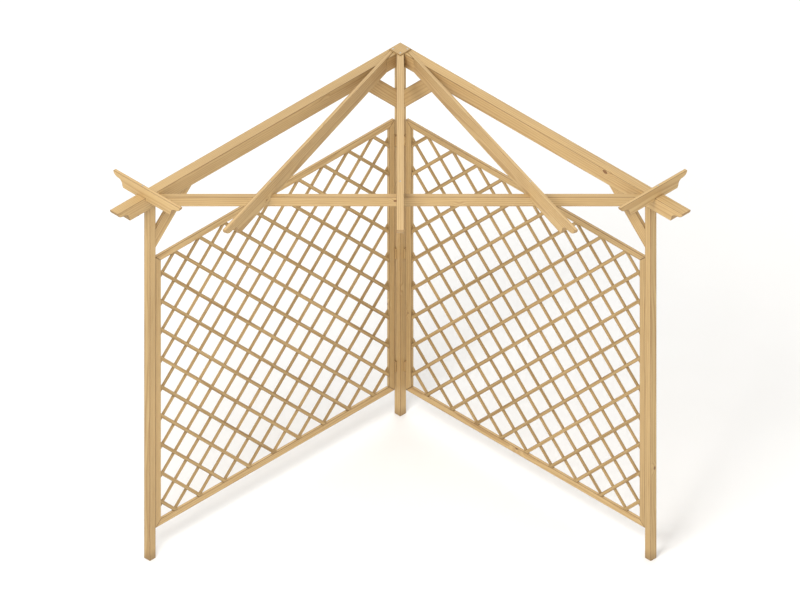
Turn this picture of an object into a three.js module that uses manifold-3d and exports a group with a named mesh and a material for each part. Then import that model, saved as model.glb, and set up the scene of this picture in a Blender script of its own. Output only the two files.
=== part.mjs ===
// A corner pergola of planed softwood: three posts, two side beams that meet over the corner post,
// a front beam, three rafters that fan out from the corner, two cross boards, knee braces, and a
// framed panel of diamond lattice in each of the two sides.
//
// Millimetres, +Z up. The origin is the middle of the corner post's foot. The two sides run out
// from it to the front left and the front right, at 45 degrees to the Y axis.
import * as THREE from 'three';
import { mergeVertices } from 'three/addons/utils/BufferGeometryUtils.js';
import Module from 'manifold-3d';

const wasm = await Module();
wasm.setup();

// ---- Driving dimensions ------------------------------------------------------------------------

const postSection = 45; // square posts
const postSpacing = 1916; // middle of the corner post to the middle of a front post
const postHeight = 2339; // ground to the underside of the side beams

const beamWidth = 62;
const beamDepth = 88;
const beamOverhang = 276; // middle of a front post to the beam's nose
const beamOgeeLength = 94;

const frontBeamThickness = 33;
const frontBeamDepth = 62;

const boardThickness = 20; // the short cross boards on top of the side beams
const boardDepth = 81;
const boardSetOut = 56; // middle of a front post to the middle of the board, along the beam
const boardReachIn = 296; // middle of the beam to the board's nose on the garden side
const boardReachOut = 215;
const boardOgeeLength = 75;
const boardNotch = 14; // how far the board drops over the beam

const middleRafterThickness = 41;
const sideRafterThickness = 20;
const rafterHeelDrop = 5; // rafters' heels below the underside of the side beams
const rafterDepthAtFront = 114; // over the front beam
const rafterNotch = 19; // how far a rafter drops over the front beam
const rafterOverhang = 495; // middle of the front beam to the rafters' noses
const rafterOgeeLength = 151;
const rafterFan = 0.5; // sideways run of a side rafter for each unit towards the front
const rafterFanStart = 27; // sideways offset of a side rafter at the corner
const rafterTail = 20; // middle of the corner post to the tail of a side rafter
const tongueDepth = 30; // the tail's tongue, which lies in a housing in the side beam

const capInset = 9; // outer faces of the side beams to the edges of the square cap
const capLip = 33; // how far the cap reaches in past the side beams
const capThickness = 9;

const braceWidth = 88;
const braceThickness = 20;
const braceReach = 308; // along the post and along the beam, at the brace's lower edge

const panelFoot = 170; // ground to the underside of a lattice panel
const panelHeadroom = 375; // top of a panel to the underside of the side beam
const panelThickness = 18;
const stileWidth = 42;
const railWidth = 40;
const cornerPacking = 15; // between the corner post and a panel
const frontPacking = 26; // between a panel and its front post
const packerHeight = 70;
const packerInset = 150; // end of the panel to the middle of the nearest packer

const lathWidth = 20;
const lathThickness = 8;
const lathPitch = 134.2; // square across the laths
const lathLetIn = 0.5; // how far crossing laths are let into each other

const screwHeadRadius = 5;
const screwHeadHeight = 3.5;
const screwShankRadius = 2.5;
const screwRim = 0.5; // straight edge of the head
const screwSides = 12;
const screwSink = 0.5; // heads below a sloping top
const capScrewLength = 60;
const capScrewInset = 16; // edges of the cap to a screw
const boardScrewLength = 110;
const rafterScrewLength = 145;
const postScrewLength = 150;

const gap = 0.3; // between pieces that touch

// ---- Sizes that follow -------------------------------------------------------------------------

const halfPost = postSection / 2;
const halfBeam = beamWidth / 2;
const beamTop = postHeight + beamDepth;
const beamNose = postSpacing + beamOverhang;
const frontBeamTop = postHeight + frontBeamDepth;
const frontLine = postSpacing * Math.SQRT1_2; // corner to the middle of the front beam, along -Y

const rafterFrontUnderside = frontBeamTop - rafterNotch;
const rafterHeelUnderside = postHeight - rafterHeelDrop;
const rafterUndersideSlope = (rafterFrontUnderside - rafterHeelUnderside) / frontLine;
const rafterTopSlope = (rafterFrontUnderside + rafterDepthAtFront - beamTop) / frontLine;
const rafterEnd = frontLine + rafterOverhang;
const tongueUnderside = beamTop - tongueDepth;
const rafterTopAt = (run) => beamTop + rafterTopSlope * run;
const rafterUndersideAt = (run) => rafterHeelUnderside + rafterUndersideSlope * run;

const capNear = capInset - halfBeam;
const capFar = halfBeam + capLip;
const capUnderside = beamTop + gap;
const capTop = capUnderside + capThickness;

const panelStart = halfPost + cornerPacking;
const panelEnd = postSpacing - halfPost - frontPacking;
const panelTop = postHeight - panelHeadroom;
const panelBack = -halfPost; // flush with the outer faces of the posts
const panelFront = panelBack + panelThickness;

const boardUnderside = beamTop + gap - boardNotch;
const boardTop = boardUnderside + boardDepth;

const far = 2 * (postSpacing + beamTop); // beyond every piece, for cutting tools

const softwood = { color: 0xd4b282, roughness: 0.72, metalness: 0 };
const zinc = { color: 0xa9a9a4, roughness: 0.4, metalness: 1 };

// ---- Helpers -----------------------------------------------------------------------------------

const outline = (points) => new THREE.Shape(points.map(([x, y]) => new THREE.Vector2(x, y)));

// A profile in X and Z, extruded between y = a and y = b.
function across(shape, a, b) {
  const geometry = new THREE.ExtrudeGeometry(shape, { depth: Math.abs(b - a), bevelEnabled: false });
  geometry.rotateX(Math.PI / 2);
  geometry.translate(0, Math.max(a, b), 0);
  return geometry;
}

// A plan outline in X and Y, extruded from z = a to z = b.
function upward(shape, a, b) {
  const geometry = new THREE.ExtrudeGeometry(shape, { depth: b - a, bevelEnabled: false });
  geometry.translate(0, 0, a);
  return geometry;
}

// A block between two opposite corners, given in any order.
function block([x0, y0, z0], [x1, y1, z1]) {
  const geometry = new THREE.BoxGeometry(Math.abs(x1 - x0), Math.abs(y1 - y0), Math.abs(z1 - z0));
  geometry.translate((x0 + x1) / 2, (y0 + y1) / 2, (z0 + z1) / 2);
  return geometry;
}

function toSolid(geometry) {
  const bare = geometry.clone();
  bare.deleteAttribute('normal');
  bare.deleteAttribute('uv');
  const merged = mergeVertices(bare);
  const vertProperties = new Float32Array(merged.attributes.position.array);
  const triVerts = new Uint32Array(merged.index.array);
  return new wasm.Manifold(new wasm.Mesh({ numProp: 3, vertProperties, triVerts }));
}

function toGeometry(solid) {
  const { vertProperties, triVerts } = solid.getMesh();
  const geometry = new THREE.BufferGeometry();
  geometry.setAttribute('position', new THREE.BufferAttribute(vertProperties, 3));
  geometry.setIndex(new THREE.BufferAttribute(triVerts, 1));
  geometry.computeVertexNormals();
  return geometry;
}

// Cuts tools, given in the whole object's frame, out of a piece given in its group's frame.
function cut(piece, frame, tools) {
  const toFrame = frame.matrixWorld.clone().invert();
  const blank = toSolid(piece);
  const cutOne = (solid, tool) => solid.subtract(toSolid(tool.clone().applyMatrix4(toFrame)));
  return toGeometry(tools.reduce(cutOne, blank));
}

function frameIn(parent, angle, x = 0, y = 0, z = 0) {
  const frame = new THREE.Group();
  frame.rotation.z = angle;
  frame.position.set(x, y, z);
  parent.add(frame);
  parent.updateMatrixWorld(true);
  return frame;
}

function addPiece(frame, name, geometry, finish = softwood) {
  const mesh = new THREE.Mesh(geometry, new THREE.MeshStandardMaterial(finish));
  mesh.name = name;
  frame.add(mesh);
}

// An ogee end, from the tip on the underside to the nose at the top: a short splay, a hollow
// quarter ellipse and a round quarter ellipse. The shares are of the end's length and height.
function ogee(tipX, tipZ, length, height) {
  const steps = 8;
  const middle = 0.5;
  const splay = [0.1, 0.22];
  const waist = 0.6;
  const points = [[0, 0]];
  for (let i = 0; i <= steps; i += 1) {
    const turn = (i / steps) * (Math.PI / 2);
    const x = middle - (middle - splay[0]) * Math.cos(turn);
    points.push([x, splay[1] + (waist - splay[1]) * Math.sin(turn)]);
  }
  for (let i = 1; i <= steps; i += 1) {
    const turn = (i / steps) * (Math.PI / 2);
    points.push([middle + (1 - middle) * Math.sin(turn), 1 - (1 - waist) * Math.cos(turn)]);
  }
  return points.map(([x, z]) => [tipX + x * length, tipZ + z * height]);
}

// ---- Frames ------------------------------------------------------------------------------------

const pergola = new THREE.Group();

// In a side's own frame +X runs along the side from the corner post, and hand * Y is the garden
// side. In a rafter's own frame +X runs along the rafter from the corner to the front.
const fanAngle = Math.atan(rafterFan);
const sides = ['left', 'right'].map((name) => {
  const hand = name === 'left' ? 1 : -1;
  const frame = frameIn(pergola, 1.5 * Math.PI - (hand * Math.PI) / 4);
  const rafterFrame = frameIn(pergola, 1.5 * Math.PI - hand * fanAngle, -hand * rafterFanStart);
  return { name, hand, frame, rafterFrame };
});
const middleFrame = frameIn(pergola, 1.5 * Math.PI);
const fanStretch = 1 / Math.cos(fanAngle); // length of a side rafter for each unit of -Y

// ---- Screws ------------------------------------------------------------------------------------

// A countersunk screw with the face of its head at z = 0 and its point down. With a clearance it
// is the hole for that screw, open above the head.
function screwGeometry(length, clearance = 0) {
  const head = screwHeadRadius + clearance;
  const shank = screwShankRadius + clearance;
  const top = clearance > 0 ? screwHeadHeight : 0;
  const profile = [
    [0, -length - clearance],
    [shank, -length + 2 * screwShankRadius],
    [shank, -screwHeadHeight - clearance],
    [head, -screwRim - clearance],
    [head, top],
    [0, top],
  ];
  const points = profile.map(([r, z]) => new THREE.Vector2(r, z));
  return new THREE.LatheGeometry(points, screwSides).rotateX(Math.PI / 2);
}

// Adds a screw and returns its hole in the whole object's frame.
function addScrew(frame, name, [x, y, z], length) {
  const place = frameIn(frame, 0, x, y, z);
  addPiece(place, name, screwGeometry(length), zinc);
  return screwGeometry(length, gap).applyMatrix4(place.matrixWorld);
}

const holes = [];
const capNearScrew = capNear + capScrewInset;
const capFarScrew = capFar - capScrewInset;
const rafterScrewTop = rafterTopAt(frontLine) - screwSink;
for (const { name, hand, frame, rafterFrame } of sides) {
  const capPlace = [capFarScrew, hand * capNearScrew, capTop];
  const boardPlace = [postSpacing + boardSetOut, 0, boardTop];
  const rafterPlace = [frontLine * fanStretch, 0, rafterScrewTop];
  holes.push(
    addScrew(frame, `${name}_cap_screw`, capPlace, capScrewLength),
    addScrew(frame, `${name}_cross_board_screw`, boardPlace, boardScrewLength),
    addScrew(frame, `${name}_post_screw`, [postSpacing, 0, beamTop - screwSink], postScrewLength),
    addScrew(rafterFrame, `${name}_rafter_screw`, rafterPlace, rafterScrewLength),
  );
}
const middleCapScrew = [capFarScrew * Math.SQRT2, 0, capTop];
const middleRafterScrew = [frontLine, 0, rafterScrewTop];
holes.push(
  addScrew(middleFrame, 'middle_cap_screw', middleCapScrew, capScrewLength),
  addScrew(middleFrame, 'middle_rafter_screw', middleRafterScrew, rafterScrewLength),
);

// ---- Posts -------------------------------------------------------------------------------------

function postAt(x) {
  return block([x - halfPost, -halfPost, 0], [x + halfPost, halfPost, postHeight - gap]);
}

addPiece(sides[0].frame, 'corner_post', postAt(0));
for (const { name, frame } of sides) {
  addPiece(frame, `${name}_post`, cut(postAt(postSpacing), frame, holes));
}

// ---- Corner cap --------------------------------------------------------------------------------

const capBlank = block([capNear, capNear, capUnderside], [capFar, capFar, capTop]);
addPiece(sides[0].frame, 'corner_cap', cut(capBlank, sides[0].frame, holes));

// The room above the timbers that the cap takes.
const capRoom = block([capNear - gap, capNear - gap, beamTop], [capFar + gap, capFar + gap, far]);
capRoom.applyMatrix4(sides[0].frame.matrixWorld);

// ---- Front beam --------------------------------------------------------------------------------

// It runs across the front, mitred against the inner faces of the side beams.
function frontBeamBlank(grow) {
  const back = frontLine - frontBeamThickness / 2 - grow;
  const front = frontLine + frontBeamThickness / 2 + grow;
  const inset = (halfBeam + gap) * Math.SQRT2;
  const plan = [
    [inset - back, -back],
    [inset - front, -front],
    [front - inset, -front],
    [back - inset, -back],
  ];
  return upward(outline(plan), postHeight - grow, frontBeamTop + grow);
}

addPiece(pergola, 'front_beam', cut(frontBeamBlank(0), pergola, holes));
const frontBeamRoom = frontBeamBlank(gap);

// ---- Rafters -----------------------------------------------------------------------------------

// Side profile of a rafter. run is the distance from the corner along -Y.
function rafterOutline(startRun, stretch) {
  const tipRun = rafterEnd - rafterOgeeLength;
  const tipZ = rafterUndersideAt(tipRun);
  const height = rafterTopAt(rafterEnd) - tipZ;
  return outline([
    [startRun * stretch, rafterUndersideAt(startRun)],
    ...ogee(tipRun * stretch, tipZ, rafterOgeeLength * stretch, height),
    [startRun * stretch, rafterTopAt(startRun)],
  ]);
}

function beamRoom({ hand, frame }, clearance, top) {
  const room = block([-far, -hand * far, 0], [far, hand * (halfBeam + clearance), top]);
  return room.applyMatrix4(frame.matrixWorld);
}

// The middle rafter ends in a point that fits the corner between the side beams.
const halfMiddle = middleRafterThickness / 2;
const middleBlank = across(rafterOutline(0, 1), -halfMiddle, halfMiddle);
const bothBeams = sides.map((side) => beamRoom(side, gap, far));
const middleTools = [...bothBeams, frontBeamRoom, capRoom, ...holes];
addPiece(middleFrame, 'middle_rafter', cut(middleBlank, middleFrame, middleTools));

// A side rafter's tail is cut back to a tongue that lies in a housing in the side beam.
const halfSide = sideRafterThickness / 2;
for (const side of sides) {
  const { name, hand, rafterFrame } = side;
  const blank = across(rafterOutline(rafterTail, fanStretch), -halfSide, halfSide);
  const past = hand * (halfMiddle + gap);
  const middleRoom = block([-past, -far, 0], [hand * far, far, far]);
  const tools = [beamRoom(side, gap, tongueUnderside), middleRoom, frontBeamRoom, capRoom, ...holes];
  addPiece(rafterFrame, `${name}_rafter`, cut(blank, rafterFrame, tools));

  const wide = across(rafterOutline(rafterTail - gap, fanStretch), -halfSide - gap, halfSide + gap);
  wide.applyMatrix4(rafterFrame.matrixWorld);
  side.housing = cut(wide, pergola, [beamRoom(side, 2 * gap, tongueUnderside - gap)]);
}

// ---- The two sides -----------------------------------------------------------------------------

function addSideBeam({ name, hand, frame, housing }) {
  const profile = outline([
    [-halfBeam, postHeight],
    ...ogee(beamNose - beamOgeeLength, postHeight, beamOgeeLength, beamDepth),
    [-halfBeam, beamTop],
  ]);
  const mitre = block([(-hand * gap) / 2, -far, 0], [hand * far, far, far]);
  const blank = across(profile, -halfBeam, halfBeam);
  addPiece(frame, `${name}_side_beam`, cut(blank, frame, [mitre, housing, ...holes]));
}

// A short board across the side beam, with an ogee at both ends and a notch over the beam.
function addCrossBoard({ name, hand, frame }) {
  const boardFrame = frameIn(frame, (hand * Math.PI) / 2, postSpacing + boardSetOut);
  const notch = halfBeam + gap;
  const end = (reach) => ogee(reach - boardOgeeLength, boardUnderside, boardOgeeLength, boardDepth);
  const profile = outline([
    [-notch, boardUnderside],
    [-notch, boardUnderside + boardNotch],
    [notch, boardUnderside + boardNotch],
    [notch, boardUnderside],
    ...end(boardReachIn),
    ...end(boardReachOut).reverse().map(([x, z]) => [-x, z]),
  ]);
  const blank = across(profile, -boardThickness / 2, boardThickness / 2);
  addPiece(boardFrame, `${name}_cross_board`, cut(blank, boardFrame, holes));
}

// Knee braces at 45 degrees, between a post's face and the underside of the side beam.
function addBraces({ name, frame }) {
  const rise = braceWidth * Math.SQRT2;
  const top = postHeight - gap;
  const ends = [
    { end: 'corner', face: halfPost + gap, direction: 1 },
    { end: 'front', face: postSpacing - halfPost - gap, direction: -1 },
  ];
  for (const { end, face, direction } of ends) {
    const profile = outline([
      [face, top - braceReach],
      [face + direction * braceReach, top],
      [face + direction * (braceReach - rise), top],
      [face, top - braceReach + rise],
    ]);
    addPiece(frame, `${name}_${end}_brace`, across(profile, -braceThickness / 2, braceThickness / 2));
  }
}

// A panel's frame: two rails and two stiles, mitred at the corners.
function addPanelFrame({ name, hand, frame }) {
  const mitreGap = gap * Math.SQRT2;
  const innerStart = panelStart + stileWidth;
  const innerEnd = panelEnd - stileWidth;
  const add = (piece, points) => {
    addPiece(frame, `${name}_${piece}`, across(outline(points), hand * panelBack, hand * panelFront));
  };
  const rail = (outer, inner) => [
    [panelStart, outer], [panelEnd, outer], [innerEnd, inner], [innerStart, inner],
  ];
  const stile = (outer, inner) => [
    [outer, panelFoot + mitreGap],
    [inner, panelFoot + railWidth + mitreGap],
    [inner, panelTop - railWidth - mitreGap],
    [outer, panelTop - mitreGap],
  ];
  add('bottom_rail', rail(panelFoot, panelFoot + railWidth));
  add('top_rail', rail(panelTop, panelTop - railWidth));
  add('corner_stile', stile(panelStart, innerStart));
  add('front_stile', stile(panelEnd, innerEnd));
}

// Packers hold the panel between its posts, three at each end.
function addPackers({ name, hand, frame }) {
  const places = [
    ['low', panelFoot + packerInset],
    ['middle', (panelFoot + panelTop) / 2],
    ['high', panelTop - packerInset],
  ];
  const ends = [
    ['corner', halfPost + gap, panelStart - gap],
    ['front', panelEnd + gap, postSpacing - halfPost - gap],
  ];
  for (const [end, x0, x1] of ends) {
    for (const [level, z] of places) {
      const low = [x0, hand * panelBack, z - packerHeight / 2];
      const high = [x1, hand * panelFront, z + packerHeight / 2];
      addPiece(frame, `${name}_${end}_packer_${level}`, block(low, high));
    }
  }
}

// Two layers of laths at 45 degrees, let into each other where they cross and trimmed to the
// opening in the panel's frame. The garden-side layer rises away from the corner post.
function addLattice({ name, hand, frame }) {
  const x0 = panelStart + stileWidth + gap;
  const x1 = panelEnd - stileWidth - gap;
  const z0 = panelFoot + railWidth + gap;
  const z1 = panelTop - railWidth - gap;
  const middle = (panelBack + panelFront) / 2;
  const halfDiagonal = ((x1 - x0 + z1 - z0) / 2) * Math.SQRT1_2;
  const offsets = [];
  let offset = lathPitch / 2;
  while (2 * (halfDiagonal - offset) > lathPitch + lathWidth) {
    offsets.push(offset, -offset);
    offset += lathPitch;
  }
  const layers = [
    { rise: 1, depth: middle + (lathThickness - lathLetIn) / 2 },
    { rise: -1, depth: middle - (lathThickness - lathLetIn) / 2 },
  ];
  const laths = layers.flatMap(({ rise, depth }) => offsets.map((distance) => {
    const lath = new THREE.BoxGeometry(4 * halfDiagonal, lathThickness, lathWidth);
    lath.translate(0, hand * depth, distance);
    lath.rotateY((-rise * Math.PI) / 4);
    lath.translate((x0 + x1) / 2, 0, (z0 + z1) / 2);
    return toSolid(lath);
  }));
  const opening = toSolid(block([x0, -far, z0], [x1, far, z1]));
  const lattice = laths.reduce((joined, lath) => joined.add(lath)).intersect(opening);
  addPiece(frame, `${name}_lattice`, toGeometry(lattice));
}

for (const side of sides) {
  addSideBeam(side);
  addCrossBoard(side);
  addBraces(side);
  addPanelFrame(side);
  addPackers(side);
  addLattice(side);
}

export default pergola;
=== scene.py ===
# The looks of a softwood corner pergola with two lattice panels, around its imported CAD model.
import functools
import math
import random

import bmesh
import bpy
import numpy as np
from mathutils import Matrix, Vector


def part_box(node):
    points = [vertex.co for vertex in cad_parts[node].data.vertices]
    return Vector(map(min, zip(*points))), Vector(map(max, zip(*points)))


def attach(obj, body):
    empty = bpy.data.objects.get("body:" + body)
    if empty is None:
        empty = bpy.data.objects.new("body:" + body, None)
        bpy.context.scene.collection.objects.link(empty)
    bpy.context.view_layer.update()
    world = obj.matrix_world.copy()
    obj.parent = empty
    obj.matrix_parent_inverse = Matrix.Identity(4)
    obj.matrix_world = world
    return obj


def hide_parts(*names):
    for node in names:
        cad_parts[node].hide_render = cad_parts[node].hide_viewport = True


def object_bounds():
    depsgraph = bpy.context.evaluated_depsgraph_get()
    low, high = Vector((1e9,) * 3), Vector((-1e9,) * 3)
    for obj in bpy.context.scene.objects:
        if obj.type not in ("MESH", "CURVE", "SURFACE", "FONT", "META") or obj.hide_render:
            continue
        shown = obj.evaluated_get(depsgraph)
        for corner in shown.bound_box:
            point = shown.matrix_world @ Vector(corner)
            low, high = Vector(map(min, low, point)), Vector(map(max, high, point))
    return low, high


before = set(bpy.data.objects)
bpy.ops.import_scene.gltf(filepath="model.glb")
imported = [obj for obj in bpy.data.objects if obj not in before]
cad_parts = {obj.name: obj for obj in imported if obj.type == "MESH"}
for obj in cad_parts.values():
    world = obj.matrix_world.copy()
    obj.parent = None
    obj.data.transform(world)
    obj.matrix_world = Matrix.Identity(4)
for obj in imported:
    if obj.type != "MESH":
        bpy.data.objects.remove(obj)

CAD_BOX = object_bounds()
MM = 0.001
DIAGONAL = math.sqrt(0.5)
rng = random.Random(17)


# ---- Materials -----------------------------------------------------------------------------------

def linear(hex_colour):
    """An sRGB hex colour as linear RGBA."""
    levels = [int(hex_colour[i:i + 2], 16) / 255 for i in (1, 3, 5)]
    return [c / 12.92 if c <= 0.04045 else ((c + 0.055) / 1.055) ** 2.4 for c in levels] + [1.0]


def add_node(tree, kind, settings=None, sockets=None):
    """Adds a node. Settings are its properties. Sockets are values, outputs to link, or nodes that
    stand for their first output.
    """
    node = tree.nodes.new(kind)
    for key, value in (settings or {}).items():
        setattr(node, key, value)
    for key, value in (sockets or {}).items():
        if isinstance(value, bpy.types.Node):
            value = value.outputs[0]
        if isinstance(value, bpy.types.NodeSocket):
            tree.links.new(value, node.inputs[key])
        else:
            node.inputs[key].default_value = value
    return node


def new_material(name):
    material = bpy.data.materials.new(name)
    material.use_nodes = True
    material.node_tree.nodes.clear()
    return material, material.node_tree


# Sizes in the log, in metres.
KNOT_CELL = (0.35, 0.09, 0.09)  # the part of the log that may hold one knot
KNOT_SPREAD = 0.9
KNOT_STRETCH = (0.62, 1.0, 1.0)  # knots are longer along the fibres
SMALLEST_KNOT = 5 * MM
KNOT_RANGE = 6 * MM
KNOT_SWELL = 12 * MM  # how far a knot pushes the rings aside
RING_WANDER = 30 * MM
FIBRE_RELIEF = 0.6 * MM
DAMP_WANDER = 60 * MM
DAMP_EDGE = (0.11, 0.03)  # height where damp starts to show, and height where it shows in full

# Each pattern: how many marks to a metre along the fibres and each way across, how many finer
# layers lie on them, and how strong those layers are.
WANDER = ((1.3, 9, 9), 2.0, 0.5)  # bends in the rings, some 770 mm long and 110 mm wide
# Open fibres are under 0.1 mm wide. They are drawn some 4 mm wide and 200 mm long, so as to show.
STREAK = ((5, 260, 260), 4.0, 0.6)
PATCH = ((1.6, 7, 7), 3.0, 0.55)  # richer stretches, some 620 mm long and 140 mm wide

PATCH_COLOUR = "#CFAE78"
KNOT_RIM_COLOUR = "#5A371B"
END_COLOUR = "#8C6A40"
# Painted shade: the eased edges are drawn darker to stand in for the shade along the arrises and
# joints.
PAINTED_EDGE_SHADE_COLOUR = "#6B4F2E"
DAMP_COLOUR = "#775B39"

# Where each mark starts to show and where it shows in full. The knots' limits are in knot radii,
# the late wood's are shares of a ring, and the others are levels of their pattern.
KNOT_EDGE = (1.08, 0.9)
KNOT_RIM_EDGE = (0.22, 0.0)
SWELL_EDGE = (4.5, 0.6)
LATE_RISE = (0.35, 0.88)
LATE_FALL = (1.0, 0.93)
STREAK_EDGE = (0.42, 0.72)
PATCH_EDGE = (0.35, 0.7)

# How strongly each mark shows, from 0 to 1.
LATE_SHOW = 0.62
STREAK_SHOW = 0.35
PATCH_SHOW = 0.3
KNOT_RIM_SHOW = 0.75
KNOT_SHOW = 0.85
END_SHOW = 0.45
# How strongly the painted shade on the eased edges shows.
PAINTED_EDGE_SHADE_SHOW = 0.65
DAMP_SHOW = 0.5

ROUGHNESS_SPREAD = 0.18
LATE_RELIEF = 0.35  # relief of the late wood, for each unit of the fibres' relief
WOOD_IOR = 1.5

TIMES = {"operation": "MULTIPLY"}
TIMES_PLUS = {"operation": "MULTIPLY_ADD"}
SMOOTH = {"interpolation_type": "SMOOTHSTEP"}
COLOURS = {"data_type": "RGBA"}


def softwood(name, early, late, knot, ring_mm, knot_share, fibre_bump, roughness):
    """Unpainted European softwood, cut from a log whose rings run through the whole solid, so
    faces show long grain and ends show arcs. Pale early wood and darker late wood give the stripes,
    knots the brown spots, and open fibres the fine streaks and the dull sheen.
    Every timber carries its own grain coordinates in metres: X along the fibres, Y and Z from the
    heart of the log.
    """
    material, tree = new_material(name)
    add = functools.partial(add_node, tree)
    grain = add("ShaderNodeAttribute", {"attribute_name": "grain"}).outputs["Vector"]
    tone = add("ShaderNodeAttribute", {"attribute_name": "tone"}).outputs["Fac"]
    end_grain = add("ShaderNodeAttribute", {"attribute_name": "end_grain"}).outputs["Fac"]
    eased = add("ShaderNodeAttribute", {"attribute_name": "eased"}).outputs["Fac"]

    # Knots: one in some of the cells of the log, about 350 mm apart along it.
    in_cells = add("ShaderNodeVectorMath", TIMES, {0: grain, 1: [1 / size for size in KNOT_CELL]})
    cells = add("ShaderNodeTexVoronoi", {"feature": "F1"},
                {"Scale": 1.0, "Randomness": KNOT_SPREAD, "Vector": in_cells})
    centre = add("ShaderNodeVectorMath", TIMES, {0: cells.outputs["Position"], 1: KNOT_CELL})
    offset = add("ShaderNodeVectorMath", {"operation": "SUBTRACT"}, {0: grain, 1: centre})
    shortened = add("ShaderNodeVectorMath", TIMES, {0: offset, 1: KNOT_STRETCH})
    away = add("ShaderNodeVectorMath", {"operation": "LENGTH"}, {0: shortened}).outputs["Value"]
    chance = add("ShaderNodeSeparateColor", None, {"Color": cells.outputs["Color"]})
    present = add("ShaderNodeMath", {"operation": "LESS_THAN"}, {0: chance, 1: knot_share})
    radius = add("ShaderNodeMath", TIMES_PLUS,
                 {0: chance.outputs[1], 1: KNOT_RANGE, 2: SMALLEST_KNOT})
    nearness = add("ShaderNodeMath", {"operation": "DIVIDE"}, {0: away, 1: radius})
    in_knot = add("ShaderNodeMapRange", SMOOTH,
                  {"Value": nearness, "From Min": KNOT_EDGE[0], "From Max": KNOT_EDGE[1]})
    knot_body = add("ShaderNodeMath", TIMES, {0: in_knot, 1: present})
    past_rim = add("ShaderNodeMath", {"operation": "SUBTRACT"}, {0: nearness, 1: 1.0})
    from_rim = add("ShaderNodeMath", {"operation": "ABSOLUTE"}, {0: past_rim})
    on_rim = add("ShaderNodeMapRange", SMOOTH,
                 {"Value": from_rim, "From Min": KNOT_RIM_EDGE[0], "From Max": KNOT_RIM_EDGE[1]})
    knot_rim = add("ShaderNodeMath", TIMES, {0: on_rim, 1: present})
    push = add("ShaderNodeMapRange", SMOOTH,
               {"Value": nearness, "From Min": SWELL_EDGE[0], "From Max": SWELL_EDGE[1],
                "To Max": KNOT_SWELL})
    swell = add("ShaderNodeMath", TIMES, {0: push, 1: present})

    wander, streak, patch = (
        add("ShaderNodeTexNoise", {"noise_dimensions": "3D"},
            {"Vector": add("ShaderNodeVectorMath", TIMES, {0: grain, 1: scale}), "Scale": 1.0,
             "Detail": layers, "Roughness": strength})
        for scale, layers, strength in (WANDER, STREAK, PATCH))

    # Growth rings, pushed about slowly along the log and round the knots.
    flat = add("ShaderNodeVectorMath", TIMES, {0: grain, 1: (0.0, 1.0, 1.0)})
    from_heart = add("ShaderNodeVectorMath", {"operation": "LENGTH"}, {0: flat}).outputs["Value"]
    bent = add("ShaderNodeMath", TIMES_PLUS, {0: wander, 1: RING_WANDER, 2: from_heart})
    reach = add("ShaderNodeMath", {"operation": "ADD"}, {0: bent, 1: swell})
    # Softwood rings are 2 to 4 mm apart. They are drawn wider so that they show from a few metres.
    count = add("ShaderNodeMath", {"operation": "DIVIDE"}, {0: reach, 1: ring_mm * MM})
    ring = add("ShaderNodeMath", {"operation": "FRACT"}, {0: count})
    rise = add("ShaderNodeMapRange", SMOOTH,
               {"Value": ring, "From Min": LATE_RISE[0], "From Max": LATE_RISE[1]})
    fall = add("ShaderNodeMapRange", SMOOTH,
               {"Value": ring, "From Min": LATE_FALL[0], "From Max": LATE_FALL[1]})
    late_wood = add("ShaderNodeMath", TIMES, {0: rise, 1: fall})

    # Splashes and damp from the ground darken the feet of the posts.
    place = add("ShaderNodeSeparateXYZ", None,
                {"Vector": add("ShaderNodeNewGeometry").outputs["Position"]})
    height = add("ShaderNodeMath", TIMES_PLUS,
                 {0: patch, 1: DAMP_WANDER, 2: place.outputs["Z"]})

    # How much of each colour lies on the ones before it. Ends drink in more preservative and dust
    # than flat faces. The darker eased edges are painted shade along the arrises and joints.
    marks = (
        (add("ShaderNodeMath", TIMES, {0: late_wood, 1: LATE_SHOW}), late),
        (add("ShaderNodeMapRange", SMOOTH,
             {"Value": streak, "From Min": STREAK_EDGE[0], "From Max": STREAK_EDGE[1],
              "To Max": STREAK_SHOW}), late),
        (add("ShaderNodeMapRange", SMOOTH,
             {"Value": patch, "From Min": PATCH_EDGE[0], "From Max": PATCH_EDGE[1],
              "To Max": PATCH_SHOW}), PATCH_COLOUR),
        (add("ShaderNodeMath", TIMES, {0: knot_rim, 1: KNOT_RIM_SHOW}), KNOT_RIM_COLOUR),
        (add("ShaderNodeMath", TIMES, {0: knot_body, 1: KNOT_SHOW}), knot),
        (add("ShaderNodeMath", TIMES, {0: end_grain, 1: END_SHOW}), END_COLOUR),
        # painted shade on the eased edges
        (add("ShaderNodeMath", TIMES, {0: eased, 1: PAINTED_EDGE_SHADE_SHOW}), PAINTED_EDGE_SHADE_COLOUR),
        (add("ShaderNodeMapRange", SMOOTH,
             {"Value": height, "From Min": DAMP_EDGE[0], "From Max": DAMP_EDGE[1],
              "To Max": DAMP_SHOW}), DAMP_COLOUR),
    )
    colour = linear(early)
    for amount, over in marks:
        colour = add("ShaderNodeMix", COLOURS, {0: amount, 6: colour, 7: linear(over)}).outputs[2]
    shade = add("ShaderNodeHueSaturation", None,
                {"Hue": 0.5, "Saturation": 1.0, "Value": tone, "Color": colour})

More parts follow.
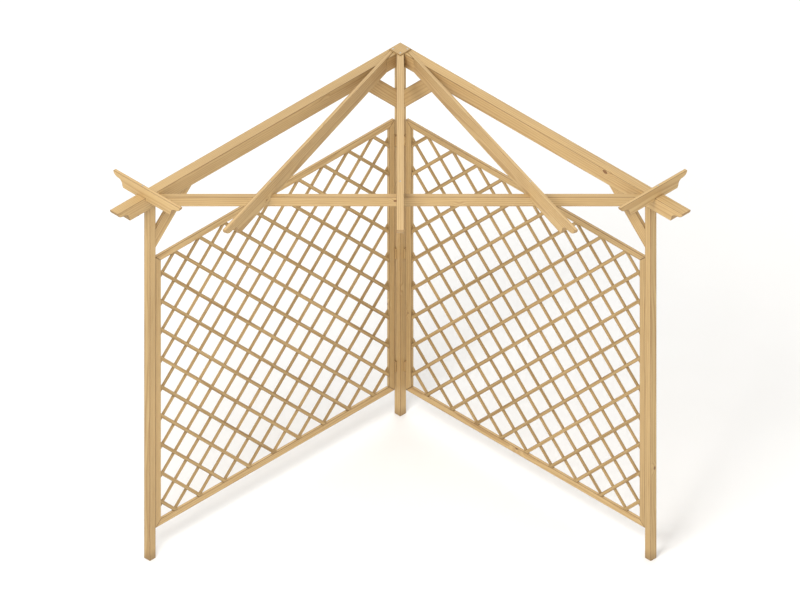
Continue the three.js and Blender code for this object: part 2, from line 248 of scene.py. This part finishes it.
    rough = add("ShaderNodeMath", TIMES_PLUS,
                {0: streak, 1: ROUGHNESS_SPREAD, 2: roughness - ROUGHNESS_SPREAD / 2})
    relief = add("ShaderNodeMath", TIMES_PLUS, {0: late_wood, 1: LATE_RELIEF, 2: streak})
    bump = add("ShaderNodeBump", None,
               {"Strength": fibre_bump, "Distance": FIBRE_RELIEF, "Height": relief})
    shader = add("ShaderNodeBsdfPrincipled", None,
                 {"Base Color": shade, "Roughness": rough, "IOR": WOOD_IOR, "Metallic": 0.0,
                  "Normal": bump})
    add("ShaderNodeOutputMaterial", None, {"Surface": shader})
    return material


# Plating is mottled too finely to show. Its spots are drawn some 1.7 mm wide.
ZINC_MOTTLE = (600.0, 2.0)
ZINC_COLOURS = ("#9A9A96", "#BEBFBC")
ZINC_ROUGHNESS = (0.3, 0.5)


def zinc_plate():
    """Zinc-plated steel: a dull blue-grey sheen with a fine mottle."""
    material, tree = new_material("zinc_plate")
    add = functools.partial(add_node, tree)
    mottle = add("ShaderNodeTexNoise", None,
                 {"Vector": add("ShaderNodeTexCoord").outputs["Object"], "Scale": ZINC_MOTTLE[0],
                  "Detail": ZINC_MOTTLE[1]})
    dull, bright = map(linear, ZINC_COLOURS)
    colour = add("ShaderNodeMix", COLOURS, {0: mottle, 6: dull, 7: bright})
    rough = add("ShaderNodeMapRange", None,
                {"Value": mottle, "To Min": ZINC_ROUGHNESS[0], "To Max": ZINC_ROUGHNESS[1]})
    shader = add("ShaderNodeBsdfPrincipled", None,
                 {"Base Color": colour.outputs[2], "Metallic": 1.0, "Roughness": rough})
    add("ShaderNodeOutputMaterial", None, {"Surface": shader})
    return material


PLANED = softwood("planed_softwood", "#C2A472", "#9C7543", "#734823", ring_mm=9, knot_share=0.2,
                  fibre_bump=0.35, roughness=0.62)
SAWN = softwood("sawn_laths", "#B19361", "#88663A", "#6C4320", ring_mm=8, knot_share=0.05,
                fibre_bump=0.6, roughness=0.72)
ZINC = zinc_plate()


# ---- Timbers -------------------------------------------------------------------------------------

EASE = 2.4 * MM  # radius of the eased edges of planed timber
LATH_EASE = 1.2 * MM
SHARP = math.radians(20)  # faces that meet at more than this are shaded with a crease
CORNER = math.radians(30)  # faces that meet at more than this have their edge eased
SCREW_CLEARANCE = 8 * MM  # edges this near a screw's middle belong to its hole
WELD = 0.02 * MM  # points nearer than this are one point
FLAT = math.radians(0.5)  # faces that meet at less than this are one face
UPRIGHT = 0.95  # a timber this near to vertical counts as a post
END_FACING = 0.6  # how squarely a face must meet the fibres to be an end

# Where a timber lies in its log: metres along it, and millimetres from its heart.
LOG_LENGTH = 40
HEART_ASIDE_MM = (45, 110)
HEART_BELOW_MM = (20, 80)
TONES = (0.93, 1.05)  # how light a timber is beside its neighbours


def screw_axes():
    """Where the vertical screws stand, in X and Y."""
    places = []
    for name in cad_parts:
        if name.endswith("_screw"):
            low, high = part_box(name)
            places.append(((low + high) / 2).xy)
    return places


SCREWS = screw_axes()


def by_a_screw(edge):
    return any(all((v.co.xy - place).length < SCREW_CLEARANCE for v in edge.verts)
               for place in SCREWS)


def ease_edges(bm, radius):
    """Rounds the arrises of a timber and marks the rounded faces, where the wood shader paints
    shade.
    """
    eased = bm.faces.layers.float.new("eased")
    arrises = [e for e in bm.edges
               if e.is_manifold and e.calc_face_angle() > CORNER and not by_a_screw(e)]
    made = bmesh.ops.bevel(bm, geom=arrises, offset=radius, segments=2, profile=0.5,
                           affect="EDGES", clamp_overlap=True)
    for face in made["faces"]:
        face[eased] = 1.0


def grain_frame(along):
    """Axes of a timber: along its fibres, and two square to them."""
    along = along.normalized()
    level = Vector((DIAGONAL, DIAGONAL, 0)) if abs(along.z) > UPRIGHT else along.cross((0, 0, 1))
    level.normalize()
    return np.array([along, level, along.cross(level)])


def finish_timber(name, bm, along, material, stands_for):
    """Makes the piece and gives it its own place in its own log."""
    mesh = bpy.data.meshes.new(name)
    bm.to_mesh(mesh)
    bm.free()
    axes = grain_frame(along)
    points = np.array([v.co for v in mesh.vertices])
    heart = np.array([rng.uniform(0, LOG_LENGTH),
                      rng.uniform(*HEART_ASIDE_MM) * MM * rng.choice((-1, 1)),
                      rng.uniform(*HEART_BELOW_MM) * MM * rng.choice((-1, 1))])
    grain = (points - points.mean(0)) @ axes.T + heart
    mesh.attributes.new("grain", "FLOAT_VECTOR", "POINT").data.foreach_set("vector", grain.ravel())
    tone = mesh.attributes.new("tone", "FLOAT", "POINT")
    tone.data.foreach_set("value", [rng.uniform(*TONES)] * len(points))
    normals = np.array([p.normal for p in mesh.polygons])
    ends = (np.abs(normals @ axes[0]) > END_FACING).astype(float)
    mesh.attributes.new("end_grain", "FLOAT", "FACE").data.foreach_set("value", ends)
    mesh.shade_smooth()
    mesh.set_sharp_from_angle(angle=SHARP)
    mesh.materials.append(material)
    piece = bpy.data.objects.new(name, mesh)
    bpy.context.collection.objects.link(piece)
    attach(piece, "root")
    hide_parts(stands_for)


def work_timber(node):
    """The CAD timber with whole flat faces and eased edges. Its fibres follow its longest edge."""
    bm = bmesh.new()
    bm.from_mesh(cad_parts[node].data)
    bmesh.ops.remove_doubles(bm, verts=bm.verts, dist=WELD)
    bmesh.ops.dissolve_limit(bm, angle_limit=FLAT, verts=bm.verts, edges=bm.edges)
    longest = max(bm.edges, key=lambda e: e.calc_length())
    along = longest.verts[1].co - longest.verts[0].co
    ease_edges(bm, EASE)
    finish_timber(node + "_timber", bm, along, PLANED, node)


# ---- Laths ---------------------------------------------------------------------------------------

LATH_WIDTH = 20 * MM
LATH_PITCH = 134.2 * MM
LATH_GAP = 0.3 * MM  # from a lath's end to the panel's frame
LATH_TOUCH = 0.02 * MM  # half the space between the two layers
PIN_RADIUS = 2.4 * MM
PIN_DOME = 0.7 * MM
PIN_SINK = 0.1 * MM
PIN_SIDES = 8
PIN_PROFILE = ((1.0, 0.0), (0.86, 0.62), (0.45, 0.95))  # shares of the radius and the dome
PIN_SHARP = math.radians(50)


def side_axes(side):
    """Along a side away from the corner, and into the garden."""
    hand = -1 if side == "left" else 1
    return Vector((hand * DIAGONAL, -DIAGONAL, 0)), Vector((-hand * DIAGONAL, -DIAGONAL, 0))


def reach_of(node, axis):
    """The lowest and highest place of a CAD node along an axis."""
    places = [v.co.dot(axis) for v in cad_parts[node].data.vertices]
    return min(places), max(places)


def clip(points, axis, limit, keep_below):
    """Cuts a flat outline at a line square to one of its axes."""
    sign = 1 if keep_below else -1
    result = []
    for a, b in zip(points, points[1:] + points[:1]):
        out_a, out_b = sign * (a[axis] - limit), sign * (b[axis] - limit)
        if out_a <= 0:
            result.append(a)
        if (out_a < 0 < out_b) or (out_b < 0 < out_a):
            share = out_a / (out_a - out_b)
            result.append(tuple(p + (q - p) * share for p, q in zip(a, b)))
    return result


def lath_outline(middle, half_diagonal, distance, rise, opening):
    """A strip at 45 degrees, trimmed to the opening. Points are (along the side, height)."""
    run = (DIAGONAL, rise * DIAGONAL)
    square = (-rise * DIAGONAL, DIAGONAL)
    corners = ((-1, -1), (1, -1), (1, 1), (-1, 1))
    points = [tuple(middle[i] + run[i] * a * 2 * half_diagonal
                    + square[i] * (distance + b * LATH_WIDTH / 2) for i in (0, 1))
              for a, b in corners]
    (u0, u1), (z0, z1) = opening
    for axis, limit, below in ((0, u1, True), (0, u0, False), (1, z1, True), (1, z0, False)):
        points = clip(points, axis, limit, below)
    return points


def build_lath(name, outline, along, inward, depths, rise, lattice):
    bm = bmesh.new()
    layers = [[bm.verts.new(along * u + inward * depth + Vector((0, 0, z))) for u, z in outline]
              for depth in depths]
    bm.faces.new(layers[0])
    bm.faces.new(layers[1][::-1])
    count = len(outline)
    for i in range(count):
        j = (i + 1) % count
        bm.faces.new((layers[0][i], layers[1][i], layers[1][j], layers[0][j]))
    bmesh.ops.recalc_face_normals(bm, faces=bm.faces)
    ease_edges(bm, LATH_EASE)
    fibres = along * DIAGONAL + Vector((0, 0, rise * DIAGONAL))
    finish_timber(name, bm, fibres, SAWN, lattice)


def build_pins(side, places, inward, lattice):
    """The small domed pin heads that hold the laths where they cross."""
    bm = bmesh.new()
    level = inward.cross((0, 0, 1))
    turns = [k * math.tau / PIN_SIDES for k in range(PIN_SIDES)]
    for place in places:
        rings = []
        for radius, height in PIN_PROFILE:
            rings.append([bm.verts.new(place + inward * height * PIN_DOME
                                       + (level * math.cos(t) + Vector((0, 0, math.sin(t))))
                                       * radius * PIN_RADIUS) for t in turns])
        bm.faces.new(rings[0])
        bm.faces.new(rings[-1])
        for low, high in zip(rings, rings[1:]):
            for k in range(PIN_SIDES):
                following = (k + 1) % PIN_SIDES
                bm.faces.new((low[k], low[following], high[following], high[k]))
    bmesh.ops.recalc_face_normals(bm, faces=bm.faces)
    mesh = bpy.data.meshes.new(side + "_lath_pins")
    bm.to_mesh(mesh)
    bm.free()
    mesh.shade_smooth()
    mesh.set_sharp_from_angle(angle=PIN_SHARP)
    mesh.materials.append(ZINC)
    pins = bpy.data.objects.new(side + "_lath_pins", mesh)
    bpy.context.collection.objects.link(pins)
    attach(pins, "root")
    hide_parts(lattice)


def build_lattice(side):
    along, inward = side_axes(side)
    lattice = side + "_lattice"
    up = Vector((0, 0, 1))
    u0 = reach_of(side + "_corner_stile", along)[1] + LATH_GAP
    u1 = reach_of(side + "_front_stile", along)[0] - LATH_GAP
    z0 = reach_of(side + "_bottom_rail", up)[1] + LATH_GAP
    z1 = reach_of(side + "_top_rail", up)[0] - LATH_GAP
    back, front = reach_of(lattice, inward)
    between = (back + front) / 2
    middle = ((u0 + u1) / 2, (z0 + z1) / 2)
    half_diagonal = (u1 - u0 + z1 - z0) / 2 * DIAGONAL
    offsets = []
    offset = LATH_PITCH / 2
    while 2 * (half_diagonal - offset) > LATH_PITCH + LATH_WIDTH:
        offsets += [offset, -offset]
        offset += LATH_PITCH
    offsets.sort()
    layers = (("near", 1, (between + LATH_TOUCH, front)),
              ("far", -1, (back, between - LATH_TOUCH)))
    for layer, rise, depths in layers:
        for number, distance in enumerate(offsets, 1):
            outline = lath_outline(middle, half_diagonal, distance, rise, ((u0, u1), (z0, z1)))
            name = f"{side}_{layer}_lath_{number:02d}"
            build_lath(name, outline, along, inward, depths, rise, lattice)
    crossings = []
    for a in offsets:
        for b in offsets:
            u = middle[0] + (b - a) * DIAGONAL
            z = middle[1] + (a + b) * DIAGONAL
            clear_along = u0 + LATH_WIDTH < u < u1 - LATH_WIDTH
            clear_up = z0 + LATH_WIDTH < z < z1 - LATH_WIDTH
            if clear_along and clear_up:
                crossings.append(along * u + inward * (front - PIN_SINK) + up * z)
    build_pins(side, crossings, inward, lattice)


for node_name in sorted(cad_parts):
    if node_name.endswith("_screw"):
        cad_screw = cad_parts[node_name]
        cad_screw.data.materials.clear()
        cad_screw.data.materials.append(ZINC)
    elif not node_name.endswith("_lattice"):
        work_timber(node_name)
for side_name in ("left", "right"):
    build_lattice(side_name)


# ---- Floor, light and camera ---------------------------------------------------------------------

FLOOR_HALF = 40
FLOOR_COLOURS = ("#F2F1EE", "#F5F4F2")
FLOOR_CLOUD = (1.5, 3.0)  # clouds some 670 mm wide
FLOOR_ROUGHNESS = 0.9
WORLD_STRENGTH = 0.74
VIEW_WIDTH = 4.328
VIEW_TARGET = Vector((-0.0016, 0.0, 0.750))
VIEW_DISTANCE = 12
VIEW_END = 100

# Name, place and aim from the middle of the pergola, width in metres, and power in watts.
LIGHTS = (
    ("key_light", (-2.6, -5.6, 7.5), (0, 0, 0), 4.0, 690),
    ("fill_light", (6.0, -5.0, 3.0), (0, 0, 0), 5.0, 80),
    ("back_light", (0.0, 8.5, 4.0), (0, 6.5, -1.2), 6.0, 190),
)


def build_floor():
    """A wide pale floor of matt plaster."""
    material, tree = new_material("pale_floor")
    add = functools.partial(add_node, tree)
    cloud = add("ShaderNodeTexNoise", None,
                {"Vector": add("ShaderNodeTexCoord").outputs["Object"], "Scale": FLOOR_CLOUD[0],
                 "Detail": FLOOR_CLOUD[1]})
    dark, light = map(linear, FLOOR_COLOURS)
    colour = add("ShaderNodeMix", COLOURS, {0: cloud, 6: dark, 7: light})
    shader = add("ShaderNodeBsdfPrincipled", None,
                 {"Base Color": colour.outputs[2], "Roughness": FLOOR_ROUGHNESS})
    add("ShaderNodeOutputMaterial", None, {"Surface": shader})
    mesh = bpy.data.meshes.new("floor")
    corners = [(x * FLOOR_HALF, y * FLOOR_HALF, 0) for x, y in ((-1, -1), (1, -1), (1, 1), (-1, 1))]
    mesh.from_pydata(corners, [], [(0, 1, 2, 3)])
    mesh.materials.append(material)
    floor = bpy.data.objects.new("floor", mesh)
    bpy.context.collection.objects.link(floor)


def add_area_light(name, place, target, size, watts):
    data = bpy.data.lights.new(name, "AREA")
    data.size = size
    data.energy = watts
    light = bpy.data.objects.new(name, data)
    light.location = place
    light.rotation_euler = (Vector(target) - Vector(place)).to_track_quat("-Z", "Y").to_euler()
    bpy.context.collection.objects.link(light)


def light_studio():
    world = bpy.data.worlds.new("studio")
    world.use_nodes = True
    sky = world.node_tree.nodes["Background"]
    sky.inputs["Color"].default_value = (1.0, 1.0, 1.0, 1.0)
    sky.inputs["Strength"].default_value = WORLD_STRENGTH
    bpy.context.scene.world = world
    middle = (CAD_BOX[0] + CAD_BOX[1]) / 2
    for name, place, aim, width, watts in LIGHTS:
        add_area_light(name, middle + Vector(place), middle + Vector(aim), width, watts)


def set_camera():
    """A parallel view straight into the corner, at equal angles to the two sides and the ground."""
    elevation = math.atan(DIAGONAL)
    towards_eye = Vector((0, -math.cos(elevation), math.sin(elevation)))
    data = bpy.data.cameras.new("camera")
    data.type = "ORTHO"
    data.ortho_scale = VIEW_WIDTH
    data.clip_end = VIEW_END
    camera = bpy.data.objects.new("camera", data)
    camera.location = VIEW_TARGET + towards_eye * VIEW_DISTANCE
    camera.rotation_euler = (-towards_eye).to_track_quat("-Z", "Y").to_euler()
    bpy.context.collection.objects.link(camera)
    bpy.context.scene.camera = camera


build_floor()
light_studio()
set_camera()
bpy.context.scene.view_settings.view_transform = "Standard"
